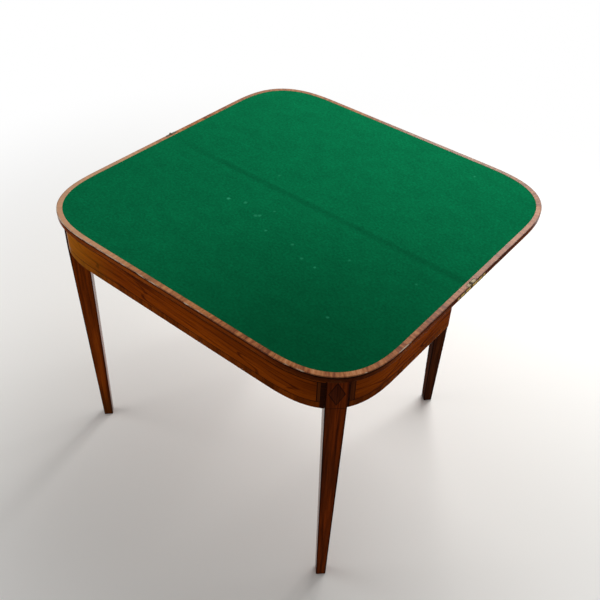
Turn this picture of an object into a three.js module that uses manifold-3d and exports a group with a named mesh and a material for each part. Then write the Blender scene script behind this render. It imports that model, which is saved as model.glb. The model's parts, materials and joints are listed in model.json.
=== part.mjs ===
// A fold-over card table, standing open for play.
// The fixed leaf is screwed to a frame with two fixed front legs. The folding leaf is hinged to
// it at both ends of the line where they meet, and lies on two rear legs, each at the end of a
// rail that swings out on a wooden knuckle joint.
// Millimetres: +X is the right of someone who sits at the front, +Y is the back and +Z is up.
// The origin is on the floor, under the middle of the line where the leaves meet.

import * as THREE from 'three';
import { mergeVertices } from 'three/addons/utils/BufferGeometryUtils.js';
import Module from 'manifold-3d';

const wasm = await Module();
wasm.setup();

// The whole table
const tableWidth = 914;
const tableDepth = 884;
const playingHeight = 711;
const cornerWidth = 219;          // how far a rounded corner of the top runs along the front
const cornerDepth = 206;          // how far it runs along the side
const cornerPower = 2.89;         // 2 would be an ellipse, and more is squarer
const cornerSteps = 18;
const roundSides = 24;            // facets round a barrel or pin
const screwSides = 16;
const touchGap = 0.3;             // left between pieces that are glued, let in or touch
const cutterOverrun = 4;          // how far a cutting solid reaches past what it cuts

// The two leaves of the top
const leafThickness = 15;
const bandingWidth = 12;
const bandingThickness = 1.2;
const baizeThickness = 1;
const leafArris = 1.2;            // rounding of the outer edges
const arrisSteps = 2;
const seamGap = 0.4;              // between the leaves when open
const closedGap = 0.6;            // between their faces when folded shut

// Frieze rails
const friezeHeight = 87;
const frontOverhang = 11;         // how far the leaf edge stands out past the frieze in front
const sideOverhang = 15.9;        // and at the sides
const friezeCorner = 196.5;       // how far a rounded corner of the frieze runs, both ways
const railThickness = 22;
const backOverhang = 0.5;         // from the meeting line to the back of the closed frame
const tenonThickness = 8;
const tenonLength = 14;
const tenonShoulder = 12;         // rail left above and below a tenon
const innerRailThickness = 20;
const braceThickness = 20;
const braceClearance = 10;        // the brace stops this far above the frieze bottom
const housingDepth = 4;           // how far the brace is let into the rails
const glueBlockSize = 40;

// Legs
const legWidth = 43.5;
const footWidth = 23;
const legArris = 0.7;             // taken off each corner of a leg
const frontFootShift = 4;         // a front foot stands this far in from the middle of its leg
const legStandsOut = 2.5;         // the middle of a front leg's face, past the curve of the frieze
const lozengeWidth = 33;
const lozengeHeight = 63;
const lozengeThickness = 1;

// Swing-out gates
const flyRailThickness = 20;
const gatePinSpread = 63;         // between the two gate pins
const gatePinRadius = 3;
const gatePinInset = 2;           // the pins stop this far inside the rail's height
const knuckleCount = 5;
const knuckleGap = 0.4;           // between one knuckle and the next
const gateOpenDegrees = 49;

// Hinges of the top, let into the leaf edges
const plateLength = 57;
const plateHeight = 8;
const plateThickness = 2;
const neckLength = 15;            // the part of the plate that shows in the playing surface
const neckWidth = 6.5;
const barrelRadius = 3;
const barrelClearance = 0.6;      // between the barrel and the necks
const strapThickness = 2.4;       // joins the neck to the barrel
const hingePinRadius = 1.1;
const plateScrewShares = [0.28, 0.76];

// Screws
const hingeScrew = { length: 15, shankRadius: 1.6, headRadius: 2.9, headDepth: 1.7, slotWidth: 0.7 };
const woodScrew = { length: 46, shankRadius: 2.2, headRadius: 4.2, headDepth: 2.6, slotWidth: 1 };
const blockScrew = { length: 32, shankRadius: 2.2, headRadius: 4.2, headDepth: 2.6, slotWidth: 1 };
const screwPointShare = 0.22;     // part of a screw's length that tapers to its point
const slotDepthShare = 0.5;       // part of the head's depth that the slot takes
const topScrewBite = 8.5;         // how far a top screw goes into the leaf
const pocketRadius = 6.5;
const pocketTiltDegrees = 17;
const frontPocketShare = 0.5;     // of the half width
const sidePocketShare = 0.55;     // of the fixed leaf's depth
const backPocketShare = 0.6;      // of the half width
const blockScrewShares = [0.3, 0.7];

// Heights and places that follow from the sizes
const halfWidth = tableWidth / 2;
const halfDepth = tableDepth / 2;
const leafPlan = { halfWidth, halfDepth, cornerWidth, cornerDepth };
const friezeHalfWidth = halfWidth - sideOverhang;
const friezeHalfDepth = halfDepth - frontOverhang;
const friezePlan = {
  halfWidth: friezeHalfWidth,
  halfDepth: friezeHalfDepth,
  cornerWidth: friezeCorner,
  cornerDepth: friezeCorner,
};
const leafBottom = playingHeight - leafThickness;
const bandingBottom = playingHeight - bandingThickness;
const boardTop = bandingBottom - touchGap;
const railTop = leafBottom - touchGap;
const friezeBottom = leafBottom - friezeHeight;
const friezeMiddle = (friezeBottom + leafBottom) / 2;
const foldHeight = playingHeight + closedGap / 2;
const plateMiddle = (leafBottom + boardTop) / 2;
const plateBottom = plateMiddle - plateHeight / 2;
const plateTop = plateMiddle + plateHeight / 2;
const neckStart = barrelRadius + barrelClearance;
const legFront = -(backOverhang + legWidth);      // front face of a closed swing leg
const railEnd = legFront - touchGap;              // where the side rails and inner rail stop
const innerRailFront = railEnd - innerRailThickness;
const sideRailInside = friezeHalfWidth - railThickness;
const frontRailInside = -(friezeHalfDepth - railThickness);
const gatePinX = gatePinSpread / 2;
const gatePinY = legFront + flyRailThickness / 2;
const swingLegReach = friezeHalfWidth - legWidth / 2 - gatePinX;
const swingLegOffset = (legWidth - flyRailThickness) / 2;
const knuckleRadius = flyRailThickness / 2;
const knuckleHeight = (railTop - friezeBottom) / knuckleCount;

const finishes = {
  mahogany: new THREE.MeshStandardMaterial({ color: 0x66290b, roughness: 0.35 }),
  darkMahogany: new THREE.MeshStandardMaterial({ color: 0x401a08, roughness: 0.38 }),
  crossbanding: new THREE.MeshStandardMaterial({ color: 0xb4845f, roughness: 0.4 }),
  baize: new THREE.MeshStandardMaterial({ color: 0x0c6140, roughness: 1 }),
  lozenge: new THREE.MeshStandardMaterial({ color: 0x3a1708, roughness: 0.35 }),
  pine: new THREE.MeshStandardMaterial({ color: 0xb98c54, roughness: 0.7 }),
  beech: new THREE.MeshStandardMaterial({ color: 0xa5754a, roughness: 0.6 }),
  brass: new THREE.MeshStandardMaterial({ color: 0xc8a850, roughness: 0.35, metalness: 1 }),
  steel: new THREE.MeshStandardMaterial({ color: 0x77736c, roughness: 0.5, metalness: 1 }),
};

// Turning three.js geometry into solids that can be cut and joined, and back

function solidFrom(geometry) {
  const bare = geometry.clone();
  bare.deleteAttribute('normal');
  bare.deleteAttribute('uv');
  const merged = mergeVertices(bare);
  const triangles = [];
  for (let i = 0; i < merged.index.count; i += 3) {
    const corners = [0, 1, 2].map((k) => merged.index.getX(i + k));
    if (new Set(corners).size === corners.length) triangles.push(...corners);
  }
  return new wasm.Manifold(new wasm.Mesh({
    numProp: 3,
    vertProperties: Float32Array.from(merged.attributes.position.array),
    triVerts: Uint32Array.from(triangles),
  }));
}

function geometryFrom(solid) {
  const mesh = solid.getMesh();
  const geometry = new THREE.BufferGeometry();
  geometry.setAttribute('position', new THREE.BufferAttribute(Float32Array.from(mesh.vertProperties), 3));
  geometry.setIndex(new THREE.BufferAttribute(Uint32Array.from(mesh.triVerts), 1));
  geometry.computeVertexNormals();
  return geometry;
}

function addPiece(group, name, solid, material, matrix) {
  const mesh = new THREE.Mesh(geometryFrom(solid), material);
  mesh.name = name;
  if (matrix) mesh.applyMatrix4(matrix);
  group.add(mesh);
}

function moved(solid, matrix) {
  return solid.transform(Array.from(matrix.elements));
}

// A box between two opposite corners, grown on every side by grow
function box(a, b, grow = 0) {
  const low = a.map((value, i) => Math.min(value, b[i]) - grow);
  const high = a.map((value, i) => Math.max(value, b[i]) + grow);
  const geometry = new THREE.BoxGeometry(high[0] - low[0], high[1] - low[1], high[2] - low[2]);
  geometry.translate((low[0] + high[0]) / 2, (low[1] + high[1]) / 2, (low[2] + high[2]) / 2);
  return solidFrom(geometry);
}

// A round rod from one point to another
function rod(radius, from, to, sides = roundSides) {
  const start = new THREE.Vector3(...from);
  const along = new THREE.Vector3(...to).sub(start);
  const geometry = new THREE.CylinderGeometry(radius, radius, along.length(), sides);
  geometry.translate(0, along.length() / 2, 0);
  const up = new THREE.Vector3(0, 1, 0);
  geometry.applyQuaternion(new THREE.Quaternion().setFromUnitVectors(up, along.normalize()));
  geometry.translate(...from);
  return solidFrom(geometry);
}

// A plan drawn in by inset: straight sides joined by squarish round corners
function outline(plan, inset) {
  const runX = plan.cornerWidth - inset;
  const runY = plan.cornerDepth - inset;
  const points = [];
  for (const [quarter, signX, signY] of [[0, 1, 1], [1, -1, 1], [2, -1, -1], [3, 1, -1]]) {
    for (let step = 0; step <= cornerSteps; step += 1) {
      const turn = (quarter + step / cornerSteps) * Math.PI / 2;
      const alongX = runX * Math.abs(Math.cos(turn)) ** (2 / cornerPower);
      const alongY = runY * Math.abs(Math.sin(turn)) ** (2 / cornerPower);
      points.push(new THREE.Vector2(
        signX * (plan.halfWidth - plan.cornerWidth + alongX),
        signY * (plan.halfDepth - plan.cornerDepth + alongY),
      ));
    }
  }
  return new THREE.Shape(points);
}

// A slab of that outline between two heights, with its arrises rounded
function planSlab(plan, inset, bottom, top, arris = 0) {
  const geometry = new THREE.ExtrudeGeometry(outline(plan, inset), {
    depth: top - bottom - 2 * arris,
    bevelEnabled: arris > 0,
    bevelThickness: arris,
    bevelSize: arris,
    bevelOffset: -arris,
    bevelSegments: arrisSteps,
  });
  geometry.translate(0, 0, bottom + arris);
  return solidFrom(geometry);
}

// Screws point down -Z, with the top of the head at z = 0. A bore is the same shape, grown.
function screwProfile(size, grow) {
  const pointStart = -size.length * (1 - screwPointShare);
  const profile = [
    [0, -size.length - grow],
    [size.shankRadius + grow, pointStart],
    [size.shankRadius + grow, -size.headDepth - grow],
    [size.headRadius + grow, 0],
    [0, 0],
  ];
  const lathe = new THREE.LatheGeometry(profile.map((p) => new THREE.Vector2(...p)), screwSides);
  lathe.rotateX(Math.PI / 2);
  return solidFrom(lathe);
}

function screw(size) {
  const slot = box(
    [-size.headRadius - cutterOverrun, -size.slotWidth / 2, -size.headDepth * slotDepthShare],
    [size.headRadius + cutterOverrun, size.slotWidth / 2, cutterOverrun],
  );
  return screwProfile(size, 0).subtract(slot);
}

function screwBore(size, headRoom = cutterOverrun, roomRadius = size.headRadius + touchGap) {
  return screwProfile(size, touchGap).add(rod(roomRadius, [0, 0, -touchGap], [0, 0, headRoom]));
}

// Hinges of the top. side is 1 for the right end and -1 for the left, and away is -1 for the
// fixed leaf's plate and 1 for the folding leaf's.

function plateScrewMatrices(side, away) {
  return plateScrewShares.map((share) => {
    const y = away * (neckLength + share * (plateLength - neckLength));
    return new THREE.Matrix4().makeTranslation(side * halfWidth, y, plateMiddle)
      .multiply(new THREE.Matrix4().makeRotationY(side * Math.PI / 2));
  });
}

function hingePlate(side, away) {
  const innerEnd = halfWidth - neckWidth;
  const middle = halfWidth - neckWidth / 2;
  const knuckle = away < 0 ? [middle + touchGap / 2, halfWidth] : [innerEnd, middle - touchGap / 2];
  const flange = box(
    [side * halfWidth, away * neckStart, plateBottom],
    [side * (halfWidth - plateThickness), away * plateLength, plateTop],
  );
  const neck = box(
    [side * halfWidth, away * neckStart, plateBottom],
    [side * innerEnd, away * neckLength, playingHeight],
  );
  const strap = box(
    [side * knuckle[0], 0, playingHeight - strapThickness],
    [side * knuckle[1], away * (neckStart + touchGap), playingHeight],
  );
  const barrelEnds = knuckle.map((x) => [side * x, 0, foldHeight]);
  const barrel = rod(barrelRadius, ...barrelEnds);
  const bore = rod(
    hingePinRadius + touchGap,
    [side * (innerEnd - cutterOverrun), 0, foldHeight],
    [side * (halfWidth + cutterOverrun), 0, foldHeight],
  );
  let plate = flange.add(neck).add(strap).add(barrel).subtract(bore);
  for (const matrix of plateScrewMatrices(side, away)) {
    plate = plate.subtract(moved(screwBore(hingeScrew), matrix));
  }
  return plate;
}

// What is cut from a leaf to let its plate and screws in
function hingeSeat(side, away) {
  const outside = side * (halfWidth + cutterOverrun);
  const seatBottom = plateBottom - touchGap;
  const notchInside = side * (halfWidth - neckWidth - touchGap);
  const rebateInside = side * (halfWidth - plateThickness - touchGap);
  const notch = box(
    [outside, -away * cutterOverrun, seatBottom],
    [notchInside, away * (neckLength + touchGap), playingHeight + cutterOverrun],
  );
  const rebate = box(
    [outside, 0, seatBottom],
    [rebateInside, away * (plateLength + touchGap), plateTop + touchGap],
  );
  let seat = notch.add(rebate);
  for (const matrix of plateScrewMatrices(side, away)) {
    seat = seat.add(moved(screwBore(hingeScrew), matrix));
  }
  return seat;
}

// The screws that hold the fixed leaf down, each slanting up out of a pocket in a rail
function pocketMatrix(x, y, inwardTurn) {
  return new THREE.Matrix4().makeTranslation(x, y, railTop)
    .multiply(new THREE.Matrix4().makeRotationZ(inwardTurn))
    .multiply(new THREE.Matrix4().makeRotationY(THREE.MathUtils.degToRad(180 - pocketTiltDegrees)))
    .multiply(new THREE.Matrix4().makeTranslation(0, 0, woodScrew.length - topScrewBite));
}

const innerRailCentre = railEnd - innerRailThickness / 2;
const pockets = [];
for (const [sideName, side] of [['left', -1], ['right', 1]]) {
  const frontX = side * halfWidth * frontPocketShare;
  const frontY = frontRailInside - railThickness / 2;
  const sideX = side * (sideRailInside + railThickness / 2);
  const sideY = -halfDepth * sidePocketShare;
  const backX = side * halfWidth * backPocketShare;
  const inward = side > 0 ? Math.PI : 0;
  const placed = [
    ['front', pocketMatrix(frontX, frontY, Math.PI / 2)],
    ['side', pocketMatrix(sideX, sideY, inward)],
    ['back', pocketMatrix(backX, innerRailCentre, -Math.PI / 2)],
  ];
  for (const [rail, matrix] of placed) pockets.push({ name: `${sideName}_${rail}_top_screw`, matrix });
}

function withPockets(solid) {
  let cut = solid;
  for (const { matrix } of pockets) {
    cut = cut.subtract(moved(screwBore(woodScrew, woodScrew.length, pocketRadius), matrix));
  }
  return cut;
}

// The leaves: a board, a crossbanded border on three sides, and the baize inside it

function halfOf(solid, away, bottom, top) {
  return solid.intersect(box(
    [-halfWidth - cutterOverrun, away * seamGap / 2, bottom],
    [halfWidth + cutterOverrun, away * (halfDepth + cutterOverrun), top],
  ));
}

function addLeaf(group, name, away) {
  const blank = planSlab(leafPlan, 0, leafBottom, playingHeight, leafArris);
  let board = halfOf(blank, away, leafBottom, boardTop);
  const field = [bandingBottom - cutterOverrun, playingHeight + cutterOverrun];
  let banding = halfOf(blank, away, bandingBottom, playingHeight)
    .subtract(planSlab(leafPlan, bandingWidth, ...field));
  for (const side of [-1, 1]) {
    board = board.subtract(hingeSeat(side, away));
    banding = banding.subtract(hingeSeat(side, away));
  }
  if (away < 0) board = withPockets(board);
  const clothInset = bandingWidth + touchGap;
  const cloth = planSlab(leafPlan, clothInset, bandingBottom, bandingBottom + baizeThickness);
  addPiece(group, name, board, finishes.mahogany);
  addPiece(group, `${name}_banding`, banding, finishes.crossbanding);
  addPiece(group, `${name}_baize`, halfOf(cloth, away, bandingBottom, playingHeight), finishes.baize);
}

function addHingePlates(group, leafName, away) {
  for (const [sideName, side] of [['left', -1], ['right', 1]]) {
    addPiece(group, `${sideName}_hinge_${leafName}_plate`, hingePlate(side, away), finishes.brass);
    plateScrewMatrices(side, away).forEach((matrix, i) => {
      const name = `${sideName}_hinge_${leafName}_screw_${i + 1}`;
      addPiece(group, name, screw(hingeScrew), finishes.brass, matrix);
    });
  }
}

// Legs: square at the top, then tapered on all four faces to the foot

function taper(topWidth, bottomWidth, height) {
  const topRadius = topWidth / Math.SQRT2;
  const geometry = new THREE.CylinderGeometry(topRadius, bottomWidth / Math.SQRT2, height, 4);
  geometry.rotateX(Math.PI / 2);
  geometry.rotateZ(Math.PI / 4);
  geometry.translate(0, 0, height / 2);
  return solidFrom(geometry);
}

// footShift moves the foot towards -X, and the top stays where it is
function leg(footShift = 0) {
  const half = legWidth / 2;
  const cornerOf = (width) => width * Math.SQRT2 - 2 * legArris;
  const cornerHalf = cornerOf(legWidth) / 2;
  const corners = box([-cornerHalf, -cornerHalf, friezeBottom], [cornerHalf, cornerHalf, railTop]);
  const block = box([-half, -half, friezeBottom], [half, half, railTop])
    .intersect(corners.rotate([0, 0, 45]));
  const shaft = taper(legWidth, footWidth, friezeBottom)
    .intersect(taper(cornerOf(legWidth), cornerOf(footWidth), friezeBottom).rotate([0, 0, 45]));
  const lean = new THREE.Matrix4().makeTranslation(-footShift, 0, 0)
    .multiply(new THREE.Matrix4().makeShear(0, 0, 0, 0, footShift / friezeBottom, 0));
  return block.add(moved(shaft, lean));
}

// A tenon that enters a leg through the face at +Y or -Y, and its mortise
function legTenon(faceSign, offset, grow = 0) {
  const face = faceSign * legWidth / 2;
  const depth = face - faceSign * tenonLength;
  const root = grow > 0 ? cutterOverrun : touchGap + tenonThickness / 2;
  return box(
    [offset - tenonThickness / 2 - grow, depth - faceSign * grow, friezeBottom + tenonShoulder - grow],
    [offset + tenonThickness / 2 + grow, face + faceSign * root, railTop - tenonShoulder + grow],
  );
}

// A front leg stands in the middle of a rounded corner of the frieze, and faces the way that
// the corner of the top does
function frontLegMatrix(side) {
  const along = friezeCorner * (1 - Math.SQRT1_2 ** (2 / cornerPower));
  const facing = Math.atan2(-cornerWidth, side * cornerDepth);
  const setBack = legWidth / 2 - legStandsOut;
  const x = side * (friezeHalfWidth - along) - Math.cos(facing) * setBack;
  const y = -(friezeHalfDepth - along) - Math.sin(facing) * setBack;
  return new THREE.Matrix4().makeTranslation(x, y, 0).multiply(new THREE.Matrix4().makeRotationZ(facing));
}

function lozenge(grow = 0) {
  const points = [[1, 0], [0, 1], [-1, 0], [0, -1]].map(([across, up]) => new THREE.Vector2(
    across * (lozengeWidth / 2 + grow),
    up * (lozengeHeight / 2 + grow),
  ));
  const depth = lozengeThickness + grow;
  const settings = { depth: depth + grow, bevelEnabled: false };
  const geometry = new THREE.ExtrudeGeometry(new THREE.Shape(points), settings);
  geometry.translate(0, 0, -depth);
  geometry.rotateX(Math.PI / 2);
  geometry.rotateZ(Math.PI / 2);
  geometry.translate(legWidth / 2, 0, friezeMiddle);
  return solidFrom(geometry);
}

const tenonSetBack = 2.4;         // the curve of the frieze falls away by this at the sides of a leg
const railTenonOffset = legWidth / 2 - railThickness / 2 - legStandsOut - tenonSetBack;

function addFrontLegs(group) {
  for (const [sideName, side] of [['left', -1], ['right', 1]]) {
    const shape = leg(frontFootShift)
      .subtract(legTenon(1, railTenonOffset, touchGap))
      .subtract(legTenon(-1, railTenonOffset, touchGap))
      .subtract(lozenge(touchGap));
    addPiece(group, `front_${sideName}_leg`, shape, finishes.darkMahogany, frontLegMatrix(side));
    addPiece(group, `front_${sideName}_leg_lozenge`, lozenge(), finishes.lozenge, frontLegMatrix(side));
  }
}

// The rails of the frame

function brace(grow = 0) {
  return box(
    [-braceThickness / 2, frontRailInside - housingDepth, friezeBottom + braceClearance],
    [braceThickness / 2, innerRailFront + housingDepth, railTop],
    grow,
  );
}

function innerRailTenon(side, grow = 0) {
  const root = side * (sideRailInside - touchGap - tenonThickness / 2);
  const end = side * (sideRailInside + tenonLength);
  return box(
    [root, innerRailCentre - tenonThickness / 2, friezeBottom + tenonShoulder],
    [end, innerRailCentre + tenonThickness / 2, railTop - tenonShoulder],
    grow,
  );
}

function addRails(group) {
  const legHalf = legWidth / 2 + touchGap;
  const hollow = [friezeBottom - cutterOverrun, railTop + cutterOverrun];
  let ring = planSlab(friezePlan, 0, friezeBottom, railTop)
    .subtract(planSlab(friezePlan, railThickness, ...hollow))
    .intersect(box(
      [-halfWidth, -halfDepth, friezeBottom - cutterOverrun],
      [halfWidth, railEnd, railTop + cutterOverrun],
    ));
  for (const side of [-1, 1]) {
    const socket = box(
      [-legHalf, -legHalf, friezeBottom - cutterOverrun],
      [legHalf + cutterOverrun, legHalf, railTop + cutterOverrun],
    );
    const tenons = legTenon(1, railTenonOffset).add(legTenon(-1, railTenonOffset));
    ring = ring.subtract(moved(socket, frontLegMatrix(side))).add(moved(tenons, frontLegMatrix(side)));
    ring = ring.subtract(innerRailTenon(side, touchGap));
  }
  ring = withPockets(ring.subtract(brace(touchGap)));
  for (const part of ring.decompose()) {
    const bounds = part.boundingBox();
    const middle = bounds.min[0] + bounds.max[0];
    const isFront = bounds.min[0] < 0 && bounds.max[0] > 0;
    const sideName = middle < 0 ? 'left_side_rail' : 'right_side_rail';
    addPiece(group, isFront ? 'front_rail' : sideName, part, finishes.mahogany);
  }
}

function addInnerFrame(group) {
  const innerEnd = sideRailInside - touchGap;
  let inner = box([-innerEnd, innerRailFront, friezeBottom], [innerEnd, railEnd, railTop])
    .add(innerRailTenon(-1))
    .add(innerRailTenon(1))
    .subtract(brace(touchGap));
  for (const matrix of blockScrewMatrices()) inner = inner.subtract(moved(screwBore(blockScrew), matrix));
  addPiece(group, 'inner_back_rail', withPockets(inner), finishes.pine);
  addPiece(group, 'medial_brace', brace(), finishes.pine);
  for (const [sideName, side] of [['left', -1], ['right', 1]]) {
    const corner = [side * innerEnd, innerRailFront - touchGap];
    const triangle = new THREE.Shape([
      new THREE.Vector2(corner[0], corner[1]),
      new THREE.Vector2(corner[0] - side * glueBlockSize, corner[1]),
      new THREE.Vector2(corner[0], corner[1] - glueBlockSize),
    ]);
    const depth = railTop - friezeBottom - 2 * braceClearance;
    const wedge = new THREE.ExtrudeGeometry(triangle, { depth, bevelEnabled: false });
    wedge.translate(0, 0, friezeBottom + braceClearance);
    addPiece(group, `${sideName}_glue_block`, solidFrom(wedge), finishes.pine);
  }
}

// The knuckle joints of the gates. The fixed block has the odd knuckles, bottom and top among
// them, and the fly rails have the even ones.

function knuckleSlots(remainder, x, direction) {
  const slots = [];
  const reach = knuckleRadius + knuckleGap;
  const wide = reach + cutterOverrun;
  for (let i = remainder; i < knuckleCount; i += 2) {
    const bottom = friezeBottom + i * knuckleHeight - knuckleGap / 2;
    const top = bottom + knuckleHeight + knuckleGap;
    slots.push(box([x - direction * reach, -wide, bottom], [x + direction * wide, wide, top]));
  }
  return slots;
}

function blockScrewMatrices() {
  return blockScrewShares.map((share) => {
    const z = friezeBottom + share * (railTop - friezeBottom);
    return new THREE.Matrix4().makeTranslation(0, legFront + flyRailThickness, z)
      .multiply(new THREE.Matrix4().makeRotationX(-Math.PI / 2));
  });
}

function pinBore(x) {
  const radius = gatePinRadius + touchGap;
  return rod(radius, [x, 0, friezeBottom - cutterOverrun], [x, 0, railTop + cutterOverrun]);
}

function addKnuckleBlock(group) {
  let block = box([-gatePinX, -knuckleRadius, friezeBottom], [gatePinX, knuckleRadius, railTop]);
  for (const side of [-1, 1]) {
    const x = side * gatePinX;
    block = block.add(rod(knuckleRadius, [x, 0, friezeBottom], [x, 0, railTop]));
    for (const slot of knuckleSlots(1, x, side)) block = block.subtract(slot);
    block = block.subtract(pinBore(x));
  }
  const place = new THREE.Matrix4().makeTranslation(0, gatePinY, 0);
  const toBlock = place.clone().invert();
  for (const matrix of blockScrewMatrices()) {
    block = block.subtract(moved(screwBore(blockScrew), toBlock.clone().multiply(matrix)));
  }
  addPiece(group, 'gate_knuckle_block', block, finishes.beech, place);
  blockScrewMatrices().forEach((matrix, i) => {
    addPiece(group, `knuckle_block_screw_${i + 1}`, screw(blockScrew), finishes.steel, matrix);
  });
  for (const [sideName, side] of [['left', -1], ['right', 1]]) {
    const x = side * gatePinX;
    const pin = rod(
      gatePinRadius,
      [x, gatePinY, friezeBottom + gatePinInset],
      [x, gatePinY, railTop - gatePinInset],
    );
    addPiece(group, `${sideName}_gate_pin`, pin, finishes.steel);
  }
}

// A gate is built round its pin, lying closed along X, and then turned open
function gate(sideName, side) {
  const group = new THREE.Group();
  group.position.set(side * gatePinX, gatePinY, 0);
  group.rotation.z = side * THREE.MathUtils.degToRad(gateOpenDegrees);
  const legPlace = new THREE.Matrix4().makeTranslation(side * swingLegReach, swingLegOffset, 0);
  const legTurn = new THREE.Matrix4().makeRotationZ(side * Math.PI / 2);
  const tenon = moved(moved(legTenon(1, -side * swingLegOffset), legTurn), legPlace);
  const mortise = legTenon(1, -side * swingLegOffset, touchGap);
  const railLength = swingLegReach - legWidth / 2 - touchGap;
  let rail = box([0, -knuckleRadius, friezeBottom], [side * railLength, knuckleRadius, railTop])
    .add(rod(knuckleRadius, [0, 0, friezeBottom], [0, 0, railTop]))
    .add(tenon);
  for (const slot of knuckleSlots(0, 0, -side)) rail = rail.subtract(slot);
  addPiece(group, `${sideName}_fly_rail`, rail.subtract(pinBore(0)), finishes.beech);
  addPiece(
    group,
    `${sideName}_swing_leg`,
    leg().subtract(mortise),
    finishes.darkMahogany,
    legPlace.clone().multiply(legTurn),
  );
  return group;
}

// Putting the table together

const frame = new THREE.Group();
addLeaf(frame, 'fixed_leaf', -1);
addRails(frame);
addFrontLegs(frame);
addInnerFrame(frame);
addKnuckleBlock(frame);
addHingePlates(frame, 'fixed', -1);
for (const { name, matrix } of pockets) addPiece(frame, name, screw(woodScrew), finishes.steel, matrix);
for (const [sideName, side] of [['left', -1], ['right', 1]]) {
  const pin = rod(
    hingePinRadius,
    [side * (halfWidth - neckWidth), 0, foldHeight],
    [side * halfWidth, 0, foldHeight],
  );
  addPiece(frame, `${sideName}_hinge_pin`, pin, finishes.brass);
}

const foldingLeaf = new THREE.Group();
addLeaf(foldingLeaf, 'folding_leaf', 1);
addHingePlates(foldingLeaf, 'folding', 1);

const cardTable = new THREE.Group();
cardTable.add(frame, foldingLeaf, gate('left', -1), gate('right', 1));

export default cardTable;
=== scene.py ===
# Looks for a fold-over card table that stands open for play: polished mahogany with
# crossbanded leaves, dark stringing on the frieze and green baize on both leaves.

import json
import math

import bmesh
import bpy
from mathutils import Matrix, Vector, noise

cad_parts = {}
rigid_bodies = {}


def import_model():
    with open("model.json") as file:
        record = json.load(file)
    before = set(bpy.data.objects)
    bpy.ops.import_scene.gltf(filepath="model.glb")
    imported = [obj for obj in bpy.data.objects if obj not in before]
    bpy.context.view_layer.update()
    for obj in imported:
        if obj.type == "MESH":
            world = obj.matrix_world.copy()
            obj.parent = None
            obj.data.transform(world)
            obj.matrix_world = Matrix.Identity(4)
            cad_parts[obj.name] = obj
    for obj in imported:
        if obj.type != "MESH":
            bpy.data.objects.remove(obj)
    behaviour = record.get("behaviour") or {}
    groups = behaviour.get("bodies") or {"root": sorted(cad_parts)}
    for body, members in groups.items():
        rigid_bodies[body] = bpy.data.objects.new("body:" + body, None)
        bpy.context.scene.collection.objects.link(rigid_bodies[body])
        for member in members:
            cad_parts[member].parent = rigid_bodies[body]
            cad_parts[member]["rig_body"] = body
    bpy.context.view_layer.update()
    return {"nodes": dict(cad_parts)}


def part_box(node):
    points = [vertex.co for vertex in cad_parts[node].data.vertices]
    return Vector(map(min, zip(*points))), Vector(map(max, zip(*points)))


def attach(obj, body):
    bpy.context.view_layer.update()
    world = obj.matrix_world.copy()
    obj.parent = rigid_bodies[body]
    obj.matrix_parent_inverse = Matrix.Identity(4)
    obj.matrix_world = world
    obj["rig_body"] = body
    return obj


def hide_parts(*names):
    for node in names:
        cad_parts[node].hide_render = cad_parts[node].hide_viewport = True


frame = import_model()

cadNodes = frame["nodes"]
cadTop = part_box("fixed_leaf_banding")[1].z
plateMiddle = sum(corner.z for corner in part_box("left_hinge_fixed_screw_1")) / 2
sides = ((-1, "left"), (1, "right"))
scene = bpy.context.scene
scene.view_settings.view_transform = "Standard"
print("frame loaded,", len(cadNodes), "nodes")


def addObject(name, data):
    made = bpy.data.objects.new(name, data)
    scene.collection.objects.link(made)
    return made


# Camera, as the photo was taken

camera = {
    "place": (0.98986, -1.26886, 1.81517),
    "turn": -36.309,  # degrees, from looking along +Y
    "tilt": 39.216,  # degrees below level
    "roll": 3.395,
    "lens": 49.351,
    "film": 36.0,
    "shift": (-0.0341, -0.0502),
}


def addCamera():
    turn, tilt, roll = (math.radians(camera[k]) for k in ("turn", "tilt", "roll"))
    level = math.cos(tilt)
    ahead = Vector((math.sin(turn) * level, math.cos(turn) * level, -math.sin(tilt)))
    right = Vector((math.cos(turn), -math.sin(turn), 0))
    up = right.cross(ahead)
    leanRight = math.cos(roll) * right + math.sin(roll) * up
    leanUp = math.cos(roll) * up - math.sin(roll) * right
    data = bpy.data.cameras.new("tableCamera")
    data.sensor_width = camera["film"]
    data.lens = camera["lens"]
    data.shift_x, data.shift_y = camera["shift"]
    pose = Matrix((leanRight, leanUp, -ahead)).transposed().to_4x4()
    pose.translation = Vector(camera["place"])
    scene.camera = addObject("tableCamera", data)
    scene.camera.matrix_world = pose


addCamera()


# Short ways to write shader nodes

def paint(code):
    # a colour as a paint chart writes it, turned into what the shaders want
    parts = [int(code[i:i + 2], 16) / 255 for i in (1, 3, 5)]
    flat = [p / 12.92 if p <= 0.04045 else ((p + 0.055) / 1.055) ** 2.4 for p in parts]
    return (*flat, 1.0)


def isLink(value):
    return isinstance(value, bpy.types.NodeSocket)


def put(node, inputs):
    # each input takes a plain value or a link from another node
    for name, value in inputs.items():
        if isLink(value):
            node.id_data.links.new(value, node.inputs[name])
        else:
            node.inputs[name].default_value = value


def addNode(tree, kind, inputs=None, **settings):
    made = tree.nodes.new("ShaderNode" + kind)
    for name, value in settings.items():
        setattr(made, name, value)
    put(made, inputs or {})
    return made


def after(kind, inputs, **settings):
    # the outputs of a new node, in the same tree as what is linked to it
    tree = next(value.id_data for value in inputs.values() if isLink(value))
    return addNode(tree, kind, inputs, **settings).outputs


def calc(operation, *values):
    return after("Math", dict(enumerate(values)), operation=operation)[0]


def times(a, b):
    return calc("MULTIPLY", a, b)


def offFrom(value, middle):
    return calc("ABSOLUTE", calc("SUBTRACT", value, middle))


def vectorCalc(operation, inputs):
    return after("VectorMath", inputs, operation=operation)


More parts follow.
